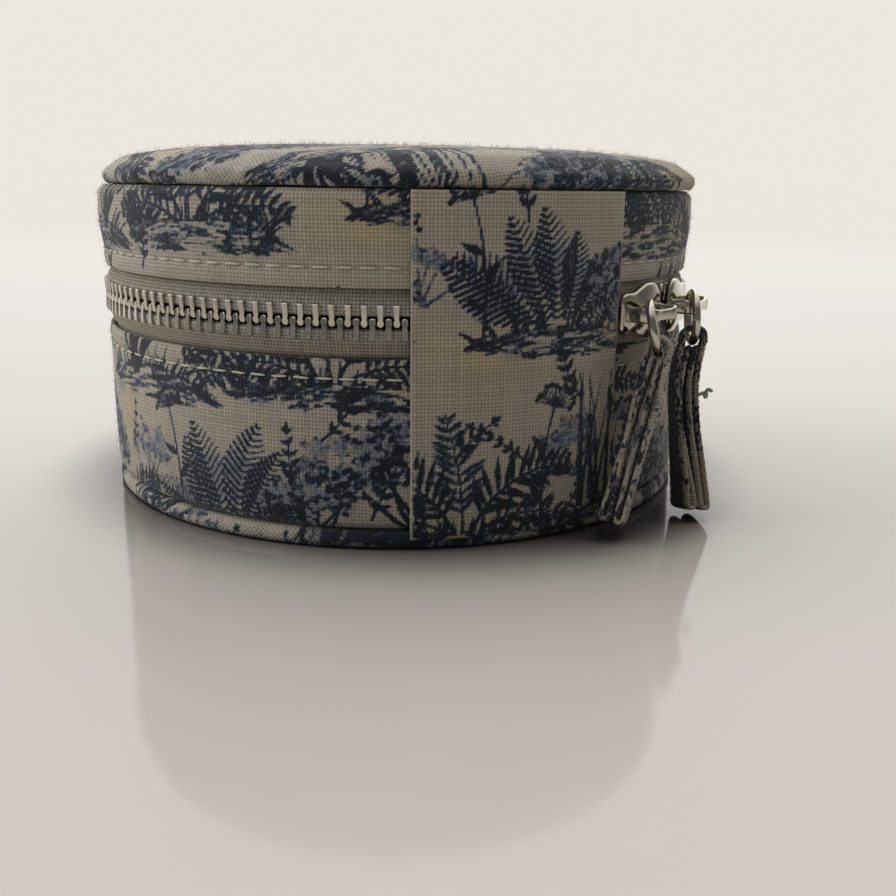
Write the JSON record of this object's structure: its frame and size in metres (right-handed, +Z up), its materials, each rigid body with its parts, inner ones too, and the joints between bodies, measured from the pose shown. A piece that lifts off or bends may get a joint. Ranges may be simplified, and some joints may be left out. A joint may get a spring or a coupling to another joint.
{
  "type": "round zip jewellery case",
  "caption": "Round stiff jewellery case in printed canvas: ring-roll tray, crowned lid on a cloth hinge, metal zip with ring pulls and folded cloth tabs.",
  "frame": {"origin": "centre of the flat resting face of the bottom panel, at rest height", "axes": "+Z up, -Y towards the front, +Y towards the cloth hinge, +X to the right seen from the front"},
  "size_m": [0.1009, 0.1077, 0.0555],
  "materials": {
    "printed_canvas": "matte",
    "zip_tape": "matte",
    "lining_cloth": "matte",
    "ring_roll_velvet": "matte",
    "foam": "matte",
    "greyboard": "matte",
    "nickel": "satin"
  },
  "bodies": {
    "base": {"base_bottom_panel": "printed_canvas", "base_bottom_board": "greyboard", "base_side_board": "greyboard", "base_side_band": "printed_canvas", "base_floor_pad": "foam", "base_lining": "lining_cloth", "tray_divider": "lining_cloth", "ring_roll_1": "ring_roll_velvet", "ring_roll_2": "ring_roll_velvet", "ring_roll_3": "ring_roll_velvet", "hinge_panel": "printed_canvas", "hinge_lining": "lining_cloth", "zip_tape_lower": "zip_tape", "zip_teeth_lower": "nickel"},
    "lid": {"lid_top_panel": "printed_canvas", "lid_foam_pad": "foam", "lid_board": "greyboard", "lid_side_board": "greyboard", "lid_side_band": "printed_canvas", "lid_lining": "lining_cloth", "lid_pocket": "lining_cloth", "zip_tape_upper": "zip_tape", "zip_teeth_upper": "nickel"},
    "slider_a": {"slider_a_body": "nickel"},
    "ring_a": {"pull_ring_a": "nickel"},
    "tab_a": {"pull_tab_a": "printed_canvas"},
    "slider_b": {"slider_b_body": "nickel"},
    "ring_b": {"pull_ring_b": "nickel"},
    "tab_b": {"pull_tab_b": "printed_canvas"}
  },
  "joints": [
    {"name": "lid_hinge", "type": "hinge", "parent": "base", "child": "lid", "pos_m": [0, 0.0505, 0.0315], "axis": [-1, 0, 0], "range_deg": [0, 110], "deforming": ["hinge_panel", "hinge_lining", "zip_tape_upper", "zip_teeth_upper"]},
    {"name": "slider_a_travel", "type": "hinge", "parent": "base", "child": "slider_a", "pos_m": [0, 0, 0.0317], "axis": [0, 0, 1], "range_deg": [0, 2.4]},
    {"name": "ring_a_turn", "type": "hinge", "parent": "slider_a", "child": "ring_a", "pos_m": [-0.02256, 0.04758, 0.02995], "axis": [0.1994, -0.137, 0.9703], "range_deg": [0, 105]},
    {"name": "tab_a_swing", "type": "hinge", "parent": "ring_a", "child": "tab_a", "pos_m": [-0.02047, 0.05063, 0.02995], "axis": [0.7996, -0.5496, -0.2419], "range_deg": [0, 65]},
    {"name": "slider_b_travel", "type": "hinge", "parent": "base", "child": "slider_b", "pos_m": [0, 0, 0.0317], "axis": [0, 0, 1], "range_deg": [0, 295.6], "deforming": ["zip_teeth_lower"]},
    {"name": "ring_b_turn", "type": "hinge", "parent": "slider_b", "child": "ring_b", "pos_m": [-0.03409, 0.04013, 0.0301], "axis": [-0.0469, 0.0232, -0.9986], "range_deg": [-140, 8]},
    {"name": "tab_b_swing", "type": "hinge", "parent": "ring_b", "child": "tab_b", "pos_m": [-0.03245, 0.04344, 0.0301], "axis": [0.8953, -0.4425, -0.0523], "range_deg": [-10, 65]}
  ]
}
